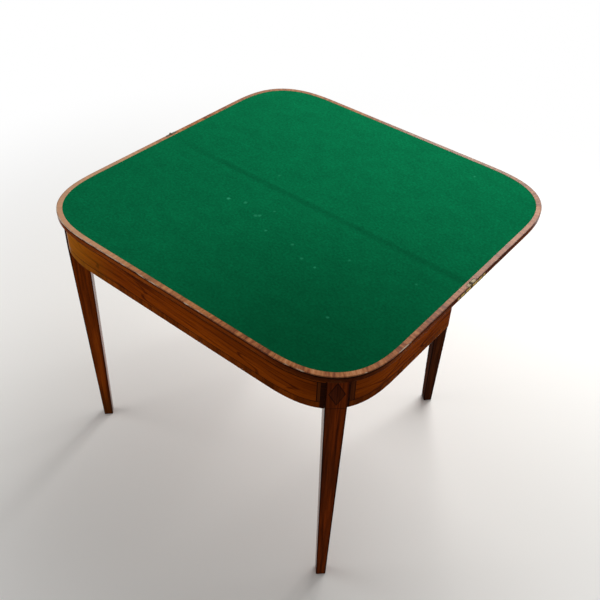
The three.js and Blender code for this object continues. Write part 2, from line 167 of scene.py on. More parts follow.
def shifted(place, shift):
    return vectorCalc("ADD", {0: place, 1: shift})[0]


def distance(place, spot):
    return vectorCalc("DISTANCE", {0: place, 1: spot})["Value"]


def split(place):
    return after("SeparateXYZ", {"Vector": place})


def joined(x, y, z):
    return after("CombineXYZ", {"X": x, "Y": y, "Z": z})[0]


def turned(place, degrees):
    return after("Mapping", {"Vector": place, "Rotation": (0, 0, math.radians(degrees))})[0]


def ease(value, low, high, outLow=0.0, outHigh=1.0):
    return after("MapRange", {
        "Value": value, "From Min": low, "From Max": high, "To Min": outLow, "To Max": outHigh,
    }, interpolation_type="SMOOTHSTEP")[0]


def mixed(share, a, b, blend="MIX"):
    settings = {"data_type": "RGBA", "blend_type": blend, "clamp_factor": True}
    return after("Mix", {0: share, 6: a, 7: b}, **settings)[2]


def ramp(value, stops, codes):
    made = addNode(value.id_data, "ValToRGB", {"Fac": value})
    elements = made.color_ramp.elements
    while len(elements) < len(stops):
        elements.new(0.5)
    for element, place, code in zip(elements, stops, codes.split()):
        element.position = place
        element.color = paint(code)
    return made.outputs[0]


def cloudy(place, perMetre, detail=3.0, roughness=0.55):
    # soft noise with its own number of spots to the metre along each axis
    scaled = after("Mapping", {"Vector": place, "Scale": perMetre})[0]
    return after("TexNoise", {
        "Vector": scaled, "Scale": 1.0, "Detail": detail, "Roughness": roughness,
    })[0]


def named(tree, name):
    return addNode(tree, "Attribute", attribute_name=name).outputs["Fac"]


def objectPlace(tree):
    return addNode(tree, "TexCoord").outputs["Object"]


def uprightPlace(tree):
    # object coordinates with X standing up, for legs
    x, y, z = split(objectPlace(tree))
    return joined(z, x, y)


def runPlace(tree, tilt):
    # X runs along a strip and Y across it, from the named values on its points
    parts = [named(tree, name) for name in ("along", "across", "strip")]
    return turned(joined(*parts), tilt)


def newFinish(name):
    made = bpy.data.materials.new(name)
    made.use_nodes = True
    return made, made.node_tree, made.node_tree.nodes["Principled BSDF"]


def addBump(shader, height, depth, strength=1.0):
    bump = after("Bump", {"Height": height, "Strength": strength, "Distance": depth})[0]
    put(shader, {"Normal": bump})


# Finishes

mahogany = {
    "grain": "#230901 #481803 #642506 #7e340b",  # dark to pale, each at its own stop
    "stops": [0.32, 0.45, 0.55, 0.68],
    "figurePerMetre": (2.2, 15, 15),
    "figureShare": 0.5,
    "streakPerMetre": (7, 190, 190),
    "streakHeight": 0.4,  # of the bump, where a pore's depth is 1
    "porePerMetre": (75, 1900, 1900),
    "poreRange": (0.56, 0.70),
    "poreShade": "#8c7466",
    "poreDepth": 0.5,
    "swayPerMetre": (3, 9, 9),
    "wobble": 0.012,
    "tiles": None,  # separate pieces of veneer, each with its own tone
    "lines": None,  # straight dark lines along the grain
    "vein": None,  # dark lines that wander
    "toned": [],  # x, y, reach, share and colour of places with painted light and shade
    "tonedHeight": 0.66,  # where these have their middle, above the floor
    "rim": None,
    "joint": None,
    "wear": None,
    "roughness": (0.34, 0.50),
    "specular": 0.0,
    "coat": 0.03,
    "coatRoughness": 0.16,
    "grazing": 0.70,  # what the coat changes to where it is seen edge on
    "grazingRange": (0.74, 0.92),
    "bump": 0.00006,
}


def swayed(start, look):
    sway = calc("SUBTRACT", cloudy(start, look["swayPerMetre"], 2.0), 0.5)
    sway = times(sway, look["wobble"])
    return shifted(start, joined(0.0, sway, sway))


def darkened(colour, share, shade):
    return mixed(share, colour, mixed(1.0, colour, paint(shade), "MULTIPLY"))


def tiledTone(tree, tone, start, tiles):
    # each tile of crossbanding is a little lighter or darker than the next
    tile = calc("FLOOR", times(split(start)[1], tiles["perMetre"]))
    seed = calc("ADD", tile, times(named(tree, "strip"), tiles["stripSeed"]))
    change = after("TexWhiteNoise", {"W": seed}, noise_dimensions="1D")["Value"]
    change = times(calc("SUBTRACT", change, 0.5), tiles["change"])
    return calc("ADD", tone, change)


def veined(colour, start, vein):
    # thin dark lines that wander along the board, as in flat-sawn wood
    off = offFrom(cloudy(start, vein["perMetre"], 1.5, 0.4), vein["level"])
    line = ease(off, vein["half"] * 0.3, vein["half"], 1.0, 0.0)
    broken = ease(cloudy(start, vein["breaksPerMetre"]), *vein["breakRange"])
    share = times(times(line, broken), vein["share"])
    return darkened(colour, share, vein["shade"])


def tonedBy(tree, colour, look):
    # painted light and shade: the tone drifts paler round some places where light and reflections
    # fall, and darker where shade falls
    for x, y, reach, share, shade in look["toned"]:
        off = distance(objectPlace(tree), (x, y, look["tonedHeight"]))
        toneShare = ease(off, reach * 0.2, reach, share, 0.0)
        colour = mixed(toneShare, colour, paint(shade))
    return colour


def wornAndHighlit(tree, colour, start, wear):
    # paler along the edges, most of all in a few spots: rubbed polish, and on the crossbanding also
    # painted highlight
    rubbed = cloudy(start, wear["perMetre"], 3.0, 0.6)
    most = None
    for x, y, radius, gain in wear.get("spots", []):
        off = distance(objectPlace(tree), (x, y, cadTop))
        spot = ease(off, radius * 0.5, radius, gain, 0.0)
        most = spot if most is None else calc("MAXIMUM", most, spot)
    if most is not None:
        rubbed = calc("ADD", rubbed, most)
    share = times(ease(rubbed, *wear["range"]), named(tree, "edge"))
    return mixed(times(share, wear["share"]), colour, paint(wear["colour"]))


def woodFinish(name, place, **changes):
    look = {**mahogany, **changes}
    made, tree, shader = newFinish(name)
    start = place(tree)
    grainPlace = swayed(start, look)
    figure = cloudy(grainPlace, look["figurePerMetre"])
    streak = cloudy(grainPlace, look["streakPerMetre"], 5.0, 0.62)
    share = look["figureShare"]
    tone = calc("ADD", times(figure, share), times(streak, 1 - share))
    if look["tiles"]:
        tone = tiledTone(tree, tone, start, look["tiles"])
    colour = ramp(tone, look["stops"], look["grain"])
    pores = ease(cloudy(grainPlace, look["porePerMetre"], 2.0), *look["poreRange"])
    colour = darkened(colour, times(pores, look["poreDepth"]), look["poreShade"])
    lines = look["lines"]
    if lines:
        dark = ease(cloudy(grainPlace, lines["perMetre"], 2.0, 0.5), *lines["range"])
        colour = darkened(colour, times(dark, lines["share"]), lines["shade"])
    if look["vein"]:
        colour = veined(colour, start, look["vein"])
    # painted light and shade round some places
    colour = tonedBy(tree, colour, look)
    # painted shade along the arrises, and darker below the crossbanding and towards the floor
    for dark in (look["rim"], look["joint"]):
        if dark:
            share = ease(named(tree, dark["value"]), *dark["range"], dark["share"], 0.0)
            colour = darkened(colour, share, dark["shade"])
    # paler edges: rubbed polish, and on the crossbanding painted highlight too
    if look["wear"]:
        colour = wornAndHighlit(tree, colour, start, look["wear"])
    height = calc("SUBTRACT", times(streak, look["streakHeight"]), pores)
    addBump(shader, height, look["bump"])
    put(shader, {
        "Base Color": colour,
        "Roughness": ease(streak, 0.3, 0.7, *look["roughness"]),
        "Specular IOR Level": look["specular"],
        "Coat Weight": look["coat"],
        "Coat Roughness": look["coatRoughness"],
    })
    if look["coat"]:
        facing = addNode(tree, "LayerWeight", {"Blend": 0.5}).outputs["Facing"]
        coat = ease(facing, *look["grazingRange"], look["coat"], look["grazing"])
        put(shader, {"Coat Weight": coat})
    return made


metal = {
    "spotsPerMetre": (420, 420, 420),
    "tarnished": (0.46, 0.68),  # the spots' noise from bright to dull
    "scratchesPerMetre": (3500, 500, 3500),
    "scratchDepth": 0.00004,
    "share": 0.85,  # of the painted shade on the plates' edges and of the knuckles' greyer tops
    "edgeShadeRange": (0.0022, 0.0036),  # up and down from the middle of the plates
    "edgeShadeColour": "#33220a",
    "knuckleTopDown": (0.0020, 0.0005),  # below the playing surface, from none of the knuckle tone to all of it
    "knuckleTopColour": "#6c6250",
}


def metalFinish(name, bright, dull, roughness, plateEdgesAndKnuckles=False):
    made, tree, shader = newFinish(name)
    place = objectPlace(tree)
    spots = cloudy(place, metal["spotsPerMetre"], 4.0, 0.6)
    tarnish = ease(spots, *metal["tarnished"])
    colour = mixed(tarnish, paint(bright), paint(dull))
    if plateEdgesAndKnuckles:
        # painted shade: dark along the edges of the plates, where they meet their seats; and the
        # knuckles' tops are greyer
        height = split(place)[2]
        share = ease(offFrom(height, plateMiddle), *metal["edgeShadeRange"], 0.0, metal["share"])
        colour = mixed(share, colour, paint(metal["edgeShadeColour"]))
        low, high = (cadTop - down for down in metal["knuckleTopDown"])
        share = ease(height, low, high, 0.0, metal["share"])
        colour = mixed(share, colour, paint(metal["knuckleTopColour"]))
    scratches = cloudy(place, metal["scratchesPerMetre"], 2.0)
    addBump(shader, scratches, metal["scratchDepth"])
    tone = ease(spots, 0.3, 0.7, *roughness)
    put(shader, {"Base Color": colour, "Metallic": 1.0, "Roughness": tone})
    return made


baize = {
    "nap": "#055736 #07673f #08774a",
    "napStops": [0.38, 0.50, 0.62],
    "layers": {  # spots to the metre, detail, roughness, share
        "brushed": ((22, 30, 30), 4.0, 0.60, 0.16),
        "mottled": ((170, 210, 200), 3.0, 0.65, 0.46),
        "fibres": ((1500, 1500, 1500), 3.0, 0.70, 0.38),
    },
    "marks": [  # pale rubbed spots: x, y, radius, share
        (-0.1387, -0.1147, 0.0060, 0.72), (-0.0981, -0.1001, 0.0060, 0.41),
        (0.1741, -0.1805, 0.0045, 0.41), (-0.0459, -0.1233, 0.0065, 0.37),
        (-0.0391, -0.1171, 0.0055, 0.37), (0.0093, -0.1512, 0.0050, 0.37),
        (0.0876, -0.1502, 0.0050, 0.33), (0.1338, -0.1752, 0.0050, 0.33),
        (0.2919, -0.2859, 0.0050, 0.33), (0.2477, 0.3684, 0.0045, 0.37),
        (-0.0240, -0.0820, 0.0045, 0.30), (0.2156, -0.1115, 0.0045, 0.24),
        (0.3694, -0.0821, 0.0045, 0.24), (-0.1151, 0.0417, 0.0045, 0.26),
    ],
    "markColour": "#34a076",
    "raggedPerMetre": 260.0,
    "ragged": 0.005,  # how far the marks' outlines are pulled about
    "fade": (0.34, -0.44, 0.60, 0.58),  # painted shade: the near corner is a deeper green: x, y, reach, share
    "cornerShadeColour": "#02381f",
    "seamMiddle": -0.0065,  # painted shade: the cloth is darker along the seam where the leaves meet, most on the fixed leaf
    "seamHalf": 0.0165,
    "seamShade": 0.20,
    "seamFrom": (-0.43, -0.26),  # less so towards the left end
    "seamLeast": 0.2,
    "seamColour": "#03150d",
    "roughness": 0.95,
    "sheen": 0.06,
    "sheenRoughness": 0.5,
    "sheenTint": "#3fb07c",
    "fibreBump": 0.0003,
    "bumpStrength": 0.8,
    "mottledHeight": 0.6,  # of the bump, where a fibre's is 1
}


def raggedPlace(place):
    # shifted a little here and there, so that rubbed spots aren't round
    soft = after("TexNoise", {"Vector": place, "Scale": baize["raggedPerMetre"], "Detail": 2.0})[1]
    centred = vectorCalc("SUBTRACT", {0: soft, 1: (0.5, 0.5, 0.5)})[0]
    return shifted(place, vectorCalc("SCALE", {0: centred, "Scale": baize["ragged"]})[0])


def baizeFinish():
    made, tree, shader = newFinish("greenBaize")
    place = objectPlace(tree)
    layers = {}
    tone = 0.0
    for name, (perMetre, detail, roughness, share) in baize["layers"].items():
        layers[name] = cloudy(place, perMetre, detail, roughness)
        tone = calc("ADD", tone, times(layers[name], share))
    colour = ramp(tone, baize["napStops"], baize["nap"])
    # painted shade: a deeper green towards the near corner
    x, y, reach, share = baize["fade"]
    fade = ease(distance(place, (x, y, cadTop)), 0.0, reach, share, 0.0)
    colour = mixed(fade, colour, paint(baize["cornerShadeColour"]))
    # painted shade along the seam
    right, back, _ = split(place)
    off = offFrom(back, baize["seamMiddle"])
    seam = ease(off, 0.0, baize["seamHalf"], baize["seamShade"], 0.0)
    seam = times(seam, ease(right, *baize["seamFrom"], baize["seamLeast"], 1.0))
    colour = mixed(seam, colour, paint(baize["seamColour"]))
    ragged = raggedPlace(place)
    for x, y, radius, share in baize["marks"]:
        off = distance(ragged, (x, y, cadTop))
        spot = ease(off, radius * 0.3, radius, share, 0.0)
        colour = mixed(spot, colour, paint(baize["markColour"]))
    height = times(layers["mottled"], baize["mottledHeight"])
    height = calc("ADD", layers["fibres"], height)
    addBump(shader, height, baize["fibreBump"], baize["bumpStrength"])
    put(shader, {
        "Base Color": colour,
        "Roughness": baize["roughness"],
        "Specular IOR Level": 0.0,
        "Sheen Weight": baize["sheen"],
        "Sheen Roughness": baize["sheenRoughness"],
        "Sheen Tint": paint(baize["sheenTint"]),
    })
    return made


edgeWear = {"perMetre": (60, 300, 300), "range": (0.50, 0.68), "share": 0.35, "colour": "#8a5a34"}
# painted shade: the legs are darker along their arrises
arrisShade = {"value": "edge", "range": (1.0, 0.2), "share": 0.75, "shade": "#4a2c1c"}
friezeLook = {
    "wear": edgeWear, "coat": 0.02, "grazingRange": (0.84, 0.98),
    # painted light and shade: the left corner paler, the near right corner and the front beside it
    # darker
    "toned": [
        (-0.42, -0.41, 0.27, 0.46, "#b67616"),
        (0.40, -0.38, 0.22, 0.40, "#4a1c02"),
        (0.19, -0.43, 0.15, 0.34, "#5a2402"),
    ],
}
legGrain = {
    "figurePerMetre": (1.6, 22, 22), "streakPerMetre": (5, 230, 230), "rim": arrisShade,
    "lines": {"perMetre": (4, 160, 160), "range": (0.56, 0.68), "share": 0.5, "shade": "#6a4430"},
}
# darker towards the floor
footShade = {"value": "height", "range": (0.0, 0.15), "shade": "#a4c4e0"}

finishes = {
    "leaf": woodFinish(
        "leafMahogany", objectPlace,
        grain="#4e1c02 #743004 #904206 #a8520c",
        stops=[0.30, 0.45, 0.56, 0.70],
        # painted shade: the leaf's edge darker at the right and at the near corner
        toned=[(0.457, 0.06, 0.30, 0.65, "#4a2008"), (0.41, -0.39, 0.20, 0.72, "#2a0e02")],
        joint={"value": "joint", "range": (0.8, 0.05), "share": 0.9, "shade": "#5a2c14"},
        wear={**edgeWear, "perMetre": (50, 50, 300)},
    ),
    "frieze": woodFinish(
        "friezeMahogany", lambda tree: runPlace(tree, -2),
        grain="#582101 #7f3502 #9e4704 #ba590a",
        stops=[0.30, 0.45, 0.56, 0.70],
        figurePerMetre=(3, 18, 18), streakPerMetre=(6, 240, 240), figureShare=0.55,
        lines={"perMetre": (5, 130, 130), "range": (0.56, 0.68), "share": 0.55, "shade": "#6a4028"},
        vein={
            "perMetre": (4.2, 17, 17), "level": 0.47, "half": 0.014, "share": 0.7,
            "breaksPerMetre": (9, 60, 60), "breakRange": (0.36, 0.52), "shade": "#5a3018",
        },
        **friezeLook,
    ),
    "friezeBand": woodFinish(
        "friezeBanding", lambda tree: runPlace(tree, 90),
        grain="#481d02 #6c2f05 #863d08 #9c4a0e",
        figurePerMetre=(6, 30, 30), streakPerMetre=(14, 120, 120),
        **friezeLook,
    ),
    "rail": woodFinish(
        "railMahogany", objectPlace,
        grain="#3a1a08 #5a2c10 #6e3a18 #7f4a22", coat=0.0, roughness=(0.5, 0.7),
    ),
    "leg": woodFinish(
        "legMahogany", uprightPlace,
        grain="#3a1202 #5e2404 #7e3206 #96420b",
        joint={**footShade, "share": 0.35}, **legGrain,
    ),
    "paleLeg": woodFinish(
        "legMahoganyPaler", uprightPlace,
        grain="#401603 #672a05 #8a3c08 #a04e0f",
        joint={**footShade, "share": 0.85}, **legGrain,
    ),
    # painted shade: a darker copy of the leg mahogany for the swing legs, for the shade they stand
    # in
    "darkLeg": woodFinish(
        "legMahoganyDarker", uprightPlace,
        grain="#1a0802 #301305 #431d08 #54290e", **legGrain,
    ),
    "crossband": woodFinish(
        "crossbandedVeneer", lambda tree: runPlace(tree, 90),
        grain="#683a20 #8e5230 #b07042 #cc9064",
        stops=[0.36, 0.45, 0.54, 0.67],
        figurePerMetre=(10, 22, 22), streakPerMetre=(24, 120, 120), figureShare=0.40,
        tiles={"perMetre": 11, "change": 0.07, "stripSeed": 37.0},
        # painted light and shade: paler where reflections fall at the left, front and right, greyer
        # and darker at the back
        toned=[
            (-0.46, -0.28, 0.42, 0.55, "#d8ae8c"), (-0.28, -0.44, 0.26, 0.40, "#dcae88"),
            (-0.05, -0.44, 0.14, 0.30, "#d09a6c"), (0.10, 0.45, 0.50, 0.70, "#7e6455"),
            (-0.42, 0.40, 0.38, 0.50, "#967866"), (0.457, 0.12, 0.34, 0.40, "#b08c7e"),
        ],
        coat=0.20, coatRoughness=0.28, grazing=0.03, grazingRange=(0.76, 0.92), wobble=0.003,
        # painted shade: darker along the outer arris
        rim={"value": "across", "range": (0.0004, 0.0028), "share": 0.55, "shade": "#6a4228"},
        # partly wear, partly painted highlight: paler along the outer arris, most of all in the
        # listed spots where it catches light
        wear={
            "perMetre": (500, 42, 42), "range": (0.60, 0.74), "share": 0.85, "colour": "#d4bda4",
            "spots": [  # x, y, radius, gain
                (-0.060, -0.442, 0.060, 0.22), (-0.215, -0.440, 0.140, 0.22),
                (-0.350, -0.415, 0.080, 0.20), (0.075, -0.442, 0.040, 0.10),
                (0.455, -0.255, 0.036, 0.24), (0.328, -0.428, 0.030, 0.12),
            ],
        },
    ),
    "ebonised": woodFinish(
        "darkStringing", objectPlace, grain="#140500 #240b02 #331204 #421a08", poreDepth=0.2,
    ),
    # dark veneer beside the legs, on the front also standing in for painted shade
    "endBand": woodFinish(
        "darkEndBand", lambda tree: runPlace(tree, 0), grain="#160500 #2a0d02 #3a1505 #4a1f0a",
    ),
    "endStrip": woodFinish(
        "brownEndStrip", lambda tree: runPlace(tree, 90), grain="#2a0e02 #461c05 #5a290a #6e3812",
    ),
    "lozengeLeft": woodFinish(
        "lozengeLightHalf", uprightPlace, grain="#38140a #4f1f0a #622a0e #733915",
    ),
    "lozengeRight": woodFinish(
        "lozengeDarkHalf", uprightPlace, grain="#2c0f04 #451906 #562408 #68310d",
    ),
    "lozengeLine": woodFinish(
        "lozengeLine", uprightPlace, grain="#200a02 #321105 #411a08 #50240d",
    ),
    # painted shade along the hinge plates' edges
    "brass": metalFinish("agedBrass", "#b09034", "#5e4414", (0.50, 0.70), plateEdgesAndKnuckles=True),
    "screwBrass": metalFinish("screwBrass", "#4e3a18", "#281b08", (0.40, 0.65)),
    "steel": metalFinish("darkSteel", "#8a857c", "#4b443b", (0.35, 0.6)),
    "baize": baizeFinish(),
}

plainWoods = {
    "pine": {
        "grain": "#7d5326 #a97c45 #c49a62 #d1ab76", "coat": 0.0,
        "roughness": (0.6, 0.8), "specular": 0.3, "streakPerMetre": (4, 90, 90),
        "porePerMetre": (40, 900, 900), "poreDepth": 0.35,
    },
    "beech": {
        "grain": "#6d4423 #94673c #ab7d50 #b98d60", "coat": 0.0,
        "roughness": (0.5, 0.7), "specular": 0.3, "streakPerMetre": (10, 120, 120),
        "porePerMetre": (130, 1500, 1500),
    },
}


def plainWood(kind, degrees):
    # its grain is turned about the upright axis, to run along the board
    key = f"{kind}{degrees:.0f}"
    if key not in finishes:
        finishes[key] = woodFinish(
            key, lambda tree: turned(objectPlace(tree), -degrees), **plainWoods[kind],
        )
    return finishes[key]


def dress(node, finish):
    # a CAD solid keeps its shape and gets this finish
    piece = cadNodes[node]
    if not piece.material_slots:
        piece.data.materials.append(finish)
    for place in piece.material_slots:
        place.material = finish


print("finishes made,", len(finishes))


# Meshes from points

def loopFaces(count, size, closed=False):
    # joins loops of points one to the next, and the last to the first or a lid over each end
    faces = []
    for k in range(count if closed else count - 1):
        a, b = k * size, (k + 1) % count * size
        for i in range(size):
            j = (i + 1) % size
            faces.append((a + i, a + j, b + j, b + i))
    if not closed:
        last = (count - 1) * size
        faces.append(tuple(range(size)))
        faces.append(tuple(range(last + size - 1, last - 1, -1)))
    return faces


def stacked(loops, closed=False):
    points = [point for loop in loops for point in loop]
    return points, loopFaces(len(loops), len(loops[0]), closed)


def makePiece(name, slot, node, shell, looks, faceLooks=None, replaces=True, merge=True, **values):
    # node is the CAD node that the piece stands for, or else one that it moves with.
    # The values go on the points, for the finishes.
    mesh = bpy.data.meshes.new(name)
    points, faces = shell
    mesh.from_pydata([tuple(p) for p in points], [], faces)
    for key, numbers in values.items():
        mesh.attributes.new(key, "FLOAT", "POINT").data.foreach_set("value", numbers)
    for look in looks:
        mesh.materials.append(finishes[look])
    if faceLooks:
        mesh.polygons.foreach_set("material_index", faceLooks)
    shape = bmesh.new()
    shape.from_mesh(mesh)
    if merge:
        bmesh.ops.remove_doubles(shape, verts=shape.verts, dist=1e-6)
        bmesh.ops.dissolve_degenerate(shape, edges=shape.edges, dist=1e-7)
    bmesh.ops.recalc_face_normals(shape, faces=shape.faces)
    shape.to_mesh(mesh)
    shape.free()
    piece = addObject(name, mesh)
    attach(piece, cadNodes[node]["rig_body"])
    if replaces:
        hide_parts(node)
    return piece


def soften(piece, degrees):
    piece.data.shade_smooth()
    piece.data.set_sharp_from_angle(angle=math.radians(degrees))


def settle(piece):
    # replaces a piece's mesh by what its modifiers make of it
    bpy.context.view_layer.update()
    graph = bpy.context.evaluated_depsgraph_get()
    shaped = bpy.data.meshes.new_from_object(piece.evaluated_get(graph))
    piece.modifiers.clear()
    old = piece.data
    piece.data = shaped
    shaped.name = piece.name
    bpy.data.meshes.remove(old)


def cutOut(piece, boxes):
    for low, high in boxes:
        size = [b - a for a, b in zip(low, high)]
        middle = [(a + b) / 2 for a, b in zip(low, high)]
        fit = Matrix.Translation(middle) @ Matrix.Diagonal((*size, 1))
        shape = bmesh.new()
        bmesh.ops.create_cube(shape, size=1, matrix=fit)
        mesh = bpy.data.meshes.new("cutter")
        shape.to_mesh(mesh)
        shape.free()
        cutter = addObject("cutter", mesh)
        cut = piece.modifiers.new("cut", "BOOLEAN")
        cut.operation = "DIFFERENCE"
        cut.solver = "EXACT"
        cut.object = cutter
        settle(piece)
        bpy.data.objects.remove(cutter)


# The plan of the top: stations along a leaf's edge, from one end of the seam to the other

top = {
    "cornerWidth": 0.219,
    "cornerDepth": 0.206,
    "cornerPower": 2.89,
    "step": 0.005,  # between stations on the round corners
    "straightStep": 0.012,
}
leafLow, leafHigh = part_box("fixed_leaf")
halfWidth = leafHigh.x
seamHalf = -leafHigh.y
leafPlan = {**top, "halfWidth": halfWidth, "halfDepth": -leafLow.y, "start": seamHalf}


def runLengths(stations):
    lengths = [0.0]
    for a, b in zip(stations, stations[1:]):
        lengths.append(lengths[-1] + math.dist(a[:2], b[:2]))
    return lengths


def cornerShares(plan, turn):
    # how much of its run along each axis a round corner has at this turn
    power = 2 / plan["cornerPower"]
    return max(math.cos(turn), 0.0) ** power, max(math.sin(turn), 0.0) ** power


def cornerTurns(plan):
    # turns from 0 to a quarter, spaced evenly along the corner
    fine = 600
    quarter = math.pi / 2
    path = []
    for i in range(fine + 1):
        kx, ky = cornerShares(plan, i / fine * quarter)
        path.append((plan["cornerWidth"] * kx, plan["cornerDepth"] * ky))
    path[-1] = (0.0, plan["cornerDepth"])
    lengths = runLengths(path)
    count = max(2, round(lengths[-1] / plan["step"]))
    turns = []
    at = 0
    for i in range(count + 1):
        goal = lengths[-1] * i / count
        while at < fine and lengths[at + 1] < goal:
            at += 1
        gap = lengths[min(at + 1, fine)] - lengths[at]
        part = (goal - lengths[at]) / gap if gap > 0 else 0
        turns.append((at / fine + part / fine) * quarter)
    return turns


def planStations(plan, away):
    # each station is a point on the edge and the way it moves for each metre of inset
    runX, runY = plan["cornerWidth"], plan["cornerDepth"]
    cornerX = plan["halfWidth"] - runX
    cornerY = plan["halfDepth"] - runY
    start = plan["start"]
    right = []
    count = max(1, round((cornerY - start) / plan["straightStep"]))
    for i in range(count):
        right.append((plan["halfWidth"], start + (cornerY - start) * i / count, -1.0, 0.0))
    for turn in cornerTurns(plan):
        kx, ky = cornerShares(plan, turn)
        right.append((cornerX + runX * kx, cornerY + runY * ky, -kx, -ky))
    count = max(1, round(cornerX / plan["straightStep"]))
    for i in range(1, count + 1):
        right.append((cornerX * (1 - i / count), plan["halfDepth"], 0.0, -1.0))
    left = [(-x, y, -kx, ky) for x, y, kx, ky in reversed(right[:-1])]
    return [(x, away * y, kx, away * ky) for x, y, kx, ky in right + left]


def sweep(stations, profile, alongs, strip, dent=None):
    # profile is a closed list of (inset, z, across, edge)
    points, rows = [], []
    for (x, y, kx, ky), along in zip(stations, alongs):
        sunk = dent(x, y) if dent else 0.0
        for inset, z, across, edge in profile:
            inset += sunk * edge
            z -= banding["chipFall"] * sunk * edge
            points.append((x + kx * inset, y + ky * inset, z))
            rows.append((along, across, edge, strip))
    values = dict(zip(("along", "across", "edge", "strip"), zip(*rows)))
    return (points, loopFaces(len(stations), len(profile))), values


def arc(insetStart, zStart, radius, steps, rising):
    # a quarter round of an outer arris, as (inset, z), from the wall to the top or the bottom
    made = []
    for i in range(steps + 1):
        turn = i / steps * math.pi / 2
        inset = insetStart + radius * (1 - math.cos(turn))
        made.append((inset, zStart + (1 if rising else -1) * radius * math.sin(turn)))
    return made


# The leaves

board = {
    "arris": 0.0012,
    "arrisSteps": 4,
    "seamArris": 0.0005,
    "jointChamfer": 0.00015,  # thin line between board and crossbanding
    "jointShade": 0.0055,  # the board is darker this far down from it
}
banding = {
    "width": 0.012,
    "arris": 0.0012,
    "innerArris": 0.0002,
    "rows": (0.0022, 0.005, 0.0095),  # points across it, in from the edge
    "chips": [  # x, y, reach along the edge, depth
        (0.3240, -0.4340, 0.007, 0.0012), (0.4160, -0.3760, 0.008, 0.0013),
        (-0.0960, -0.4420, 0.008, 0.0016), (0.4560, -0.2050, 0.005, 0.0007),
        (-0.3100, -0.4050, 0.006, 0.0008), (0.1500, 0.4420, 0.006, 0.0008),
        (-0.4400, 0.3000, 0.006, 0.0009),
    ],
    "chipFall": 0.7,  # how far a chip goes down for each metre that it goes in
}
hingeSeat = {
    "neck": 0.015,
    "neckWidth": 0.0065,
    "plate": 0.002,
    "plateHeight": 0.008,
    "clearance": 0.0006,
    "overrun": 0.004,
}


def leafLoop(away, inset, seamInset, z):
    seamY = away * (seamHalf + seamInset)
    loop = []
    for x, y, kx, ky in planStations(leafPlan, away):
        onSeam = abs(abs(y) - seamHalf) < 1e-9
        loop.append(Vector((x + kx * inset, seamY if onSeam else y + ky * inset, z)))
    first, last = loop[0].copy(), loop[-1].copy()
    count = max(1, round((first - last).length / top["straightStep"]))
    for i in range(1, count):
        loop.append(last.lerp(first, i / count))
    return loop


def spanBox(xs, ys, zs):
    # the low and the high corner between two values along each axis
    return [tuple(pick(span) for span in (xs, ys, zs)) for pick in (min, max)]


def seatBoxes(away, bottom, plateSpan=None):
    # room in a leaf's edge for the neck, and for the plate, of each hinge
    slack, overrun = hingeSeat["clearance"], hingeSeat["overrun"]
    made = []
    for side, name in sides:
        out = side * (halfWidth + overrun)
        neck = side * (halfWidth - hingeSeat["neckWidth"] - slack)
        reach = away * (hingeSeat["neck"] + slack)
        made.append(spanBox((out, neck), (-away * overrun, reach), (bottom, cadTop + overrun)))
        if plateSpan:
            low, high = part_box(f"{name}_hinge_{'fixed' if away < 0 else 'folding'}_plate")
            plate = side * (halfWidth - hingeSeat["plate"] - slack)
            reach = away * (max(abs(low.y), abs(high.y)) + slack)
            made.append(spanBox((out, plate), (0.0, reach), plateSpan))
    return made


def chipAt(x, y):
    sunk = 0.0
    for cx, cy, reach, depth in banding["chips"]:
        off = math.dist((x, y), (cx, cy))
        if off < reach:
            sunk = max(sunk, depth * (1 - (off / reach) ** 2))
    return sunk


def leafBoard(leaf, away):
    low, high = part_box(leaf)
    arris, chamfer = board["arris"], board["jointChamfer"]
    wall = arc(0.0, low.z + arris, arris, board["arrisSteps"], False)
    profile = [(inset, z, min(inset, board["seamArris"])) for inset, z in reversed(wall)]
    for inset, down in ((0.0, board["jointShade"]), (0.0, chamfer), (chamfer, 0.0)):
        profile.append((inset, high.z - down, 0.0))
    loops = [leafLoop(away, inset, seamInset, z) for inset, z, seamInset in profile]
    rows = {
        "edge": [0.0] + [1.0] * board["arrisSteps"] + [0.0, 0.0, 0.0],
        "joint": [0.0] * (len(wall) + 1) + [1.0, 1.0],
    }
    values = {key: [v for v in row for _ in loops[0]] for key, row in rows.items()}
    piece = makePiece(f"{leaf}_board", "mahogany_top", leaf, stacked(loops), ["leaf"], **values)
    half = hingeSeat["plateHeight"] / 2 + hingeSeat["clearance"]
    bottom = plateMiddle - half
    cutOut(piece, seatBoxes(away, bottom, (bottom, plateMiddle + half)))
    soften(piece, 35)


def leafBanding(leaf, away):
    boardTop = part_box(leaf)[1].z
    arris, chamfer = banding["arris"], board["jointChamfer"]
    width, inner = banding["width"], banding["innerArris"]
    profile = [(chamfer, boardTop, 0.0, 0.5), (0.0, boardTop + chamfer, 0.0, 0.6)]
    for inset, z in arc(0.0, cadTop - arris, arris, board["arrisSteps"], True):
        if z > boardTop + chamfer:
            profile.append((inset, z, inset, 1.0))
    flat = [(inset, cadTop) for inset in (*banding["rows"], width - inner)]
    for inset, z in (*flat, (width, cadTop - inner), (width, boardTop)):
        profile.append((inset, z, inset, 0.0))
    stations = planStations(leafPlan, away)
    shell, values = sweep(stations, profile, runLengths(stations), 0.1 * away, chipAt)
    names = (f"{leaf}_crossbanding", "crossbanding", f"{leaf}_banding")
    piece = makePiece(*names, shell, ["crossband"], **values)
    cutOut(piece, seatBoxes(away, boardTop - hingeSeat["overrun"]))
    soften(piece, 40)


cloth = {
    "gap": 0.0001,  # between the crossbanding and the cloth
    "roll": 0.00006,  # the cut edges round over by this much
    "seamReach": seamHalf - 0.00001,  # the two cloths all but meet at the seam
    "cell": 0.010,
    "unevenness": 0.00009,
    "ripples": (26, 61),  # long and short ones, to the metre
    "shortShare": 0.6,
    "near": 1e-5,  # less than this under the cloth's top still counts as on it
}


